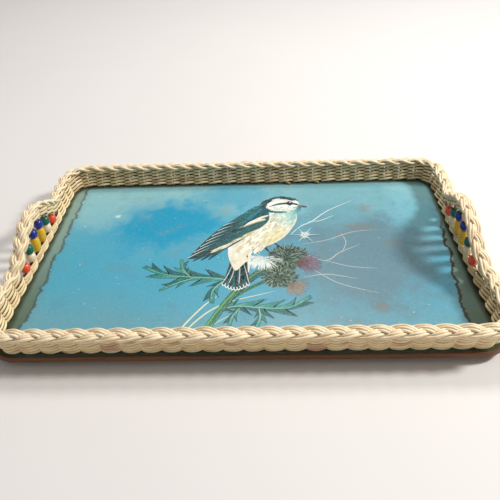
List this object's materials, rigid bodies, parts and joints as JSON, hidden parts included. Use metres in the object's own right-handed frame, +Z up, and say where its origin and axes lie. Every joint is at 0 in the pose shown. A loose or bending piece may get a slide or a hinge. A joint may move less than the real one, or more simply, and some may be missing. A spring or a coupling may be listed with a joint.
{
  "type": "cane gallery serving tray",
  "caption": "Serving tray with a printed board, a woven cane gallery with a plaited edge and an arched handle with turning beads at each end.",
  "frame": {"origin": "centre of the foot's resting plane, under the middle of the board", "axes": "+Z up from the resting plane, +X along the long side from the left handle to the right handle, +Y to the back"},
  "size_m": [0.466, 0.307, 0.069],
  "materials": {
    "board_wood": "brown stained and varnished ply, worn along its edge",
    "printed_sheet": "printed sheet under a thin clear varnish, with old tide marks",
    "woven_cane": "split cane, lightly varnished, cream to pinkish brown",
    "plaited_cane": "cream centre cane, lightly varnished",
    "foot_cane": "centre cane, unvarnished and a little darker",
    "stake_cane": "centre cane",
    "bead_red": "glossy orange red",
    "bead_green": "glossy dark green",
    "bead_blue": "glossy dark blue",
    "bead_yellow": "glossy yellow",
    "bead_natural": "varnished pale wood"
  },
  "bodies": {
    "tray": {"base_board": "board_wood", "picture_sheet": "printed_sheet", "foot_border": "foot_cane", "lower_weave": "woven_cane", "upper_weave": "woven_cane", "plaited_border": "plaited_cane", "stake_left_1": "stake_cane", "stake_left_2": "stake_cane", "stake_left_3": "stake_cane", "stake_left_4": "stake_cane", "stake_left_5": "stake_cane", "stake_left_6": "stake_cane", "stake_right_1": "stake_cane", "stake_right_2": "stake_cane", "stake_right_3": "stake_cane", "stake_right_4": "stake_cane", "stake_right_5": "stake_cane", "stake_right_6": "stake_cane"},
    "bead_left_1_red": {"bead_left_1_red": "bead_red"},
    "bead_left_2_natural": {"bead_left_2_natural": "bead_natural"},
    "bead_left_2_green": {"bead_left_2_green": "bead_green"},
    "bead_left_3_yellow": {"bead_left_3_yellow": "bead_yellow"},
    "bead_left_3_blue": {"bead_left_3_blue": "bead_blue"},
    "bead_left_4_yellow": {"bead_left_4_yellow": "bead_yellow"},
    "bead_left_4_blue": {"bead_left_4_blue": "bead_blue"},
    "bead_left_5_natural": {"bead_left_5_natural": "bead_natural"},
    "bead_left_5_green": {"bead_left_5_green": "bead_green"},
    "bead_left_6_red": {"bead_left_6_red": "bead_red"},
    "bead_right_1_red": {"bead_right_1_red": "bead_red"},
    "bead_right_2_natural": {"bead_right_2_natural": "bead_natural"},
    "bead_right_2_green": {"bead_right_2_green": "bead_green"},
    "bead_right_3_yellow": {"bead_right_3_yellow": "bead_yellow"},
    "bead_right_3_blue": {"bead_right_3_blue": "bead_blue"},
    "bead_right_4_yellow": {"bead_right_4_yellow": "bead_yellow"},
    "bead_right_4_blue": {"bead_right_4_blue": "bead_blue"},
    "bead_right_5_natural": {"bead_right_5_natural": "bead_natural"},
    "bead_right_5_green": {"bead_right_5_green": "bead_green"},
    "bead_right_6_red": {"bead_right_6_red": "bead_red"}
  },
  "joints": [
    {"name": "bead_left_1_red_spin", "type": "hinge", "parent": "tray", "child": "bead_left_1_red", "pos_m": [-0.2205, -0.04411, 0.03], "axis": [0, 0, 1], "continuous": true},
    {"name": "bead_left_2_natural_spin", "type": "hinge", "parent": "tray", "child": "bead_left_2_natural", "pos_m": [-0.2205, -0.02647, 0.03], "axis": [0, 0, 1], "continuous": true},
    {"name": "bead_left_2_green_spin", "type": "hinge", "parent": "tray", "child": "bead_left_2_green", "pos_m": [-0.2205, -0.02647, 0.03], "axis": [0, 0, 1], "continuous": true},
    {"name": "bead_left_3_yellow_spin", "type": "hinge", "parent": "tray", "child": "bead_left_3_yellow", "pos_m": [-0.2205, -0.00882, 0.03], "axis": [0, 0, 1], "continuous": true},
    {"name": "bead_left_3_blue_spin", "type": "hinge", "parent": "tray", "child": "bead_left_3_blue", "pos_m": [-0.2205, -0.00882, 0.03], "axis": [0, 0, 1], "continuous": true},
    {"name": "bead_left_4_yellow_spin", "type": "hinge", "parent": "tray", "child": "bead_left_4_yellow", "pos_m": [-0.2205, 0.00882, 0.03], "axis": [0, 0, 1], "continuous": true},
    {"name": "bead_left_4_blue_spin", "type": "hinge", "parent": "tray", "child": "bead_left_4_blue", "pos_m": [-0.2205, 0.00882, 0.03], "axis": [0, 0, 1], "continuous": true},
    {"name": "bead_left_5_natural_spin", "type": "hinge", "parent": "tray", "child": "bead_left_5_natural", "pos_m": [-0.2205, 0.02647, 0.03], "axis": [0, 0, 1], "continuous": true},
    {"name": "bead_left_5_green_spin", "type": "hinge", "parent": "tray", "child": "bead_left_5_green", "pos_m": [-0.2205, 0.02647, 0.03], "axis": [0, 0, 1], "continuous": true},
    {"name": "bead_left_6_red_spin", "type": "hinge", "parent": "tray", "child": "bead_left_6_red", "pos_m": [-0.2205, 0.04411, 0.03], "axis": [0, 0, 1], "continuous": true},
    {"name": "bead_right_1_red_spin", "type": "hinge", "parent": "tray", "child": "bead_right_1_red", "pos_m": [0.21898, -0.04411, 0.02993], "axis": [-0.0872, 0, 0.9962], "continuous": true},
    {"name": "bead_right_2_natural_spin", "type": "hinge", "parent": "tray", "child": "bead_right_2_natural", "pos_m": [0.21898, -0.02647, 0.02993], "axis": [-0.0872, 0, 0.9962], "continuous": true},
    {"name": "bead_right_2_green_spin", "type": "hinge", "parent": "tray", "child": "bead_right_2_green", "pos_m": [0.21898, -0.02647, 0.02993], "axis": [-0.0872, 0, 0.9962], "continuous": true},
    {"name": "bead_right_3_yellow_spin", "type": "hinge", "parent": "tray", "child": "bead_right_3_yellow", "pos_m": [0.21898, -0.00882, 0.02993], "axis": [-0.0872, 0, 0.9962], "continuous": true},
    {"name": "bead_right_3_blue_spin", "type": "hinge", "parent": "tray", "child": "bead_right_3_blue", "pos_m": [0.21898, -0.00882, 0.02993], "axis": [-0.0872, 0, 0.9962], "continuous": true},
    {"name": "bead_right_4_yellow_spin", "type": "hinge", "parent": "tray", "child": "bead_right_4_yellow", "pos_m": [0.21898, 0.00882, 0.02993], "axis": [-0.0872, 0, 0.9962], "continuous": true},
    {"name": "bead_right_4_blue_spin", "type": "hinge", "parent": "tray", "child": "bead_right_4_blue", "pos_m": [0.21898, 0.00882, 0.02993], "axis": [-0.0872, 0, 0.9962], "continuous": true},
    {"name": "bead_right_5_natural_spin", "type": "hinge", "parent": "tray", "child": "bead_right_5_natural", "pos_m": [0.21898, 0.02647, 0.02993], "axis": [-0.0872, 0, 0.9962], "continuous": true},
    {"name": "bead_right_5_green_spin", "type": "hinge", "parent": "tray", "child": "bead_right_5_green", "pos_m": [0.21898, 0.02647, 0.02993], "axis": [-0.0872, 0, 0.9962], "continuous": true},
    {"name": "bead_right_6_red_spin", "type": "hinge", "parent": "tray", "child": "bead_right_6_red", "pos_m": [0.21898, 0.04411, 0.02993], "axis": [-0.0872, 0, 0.9962], "continuous": true}
  ]
}
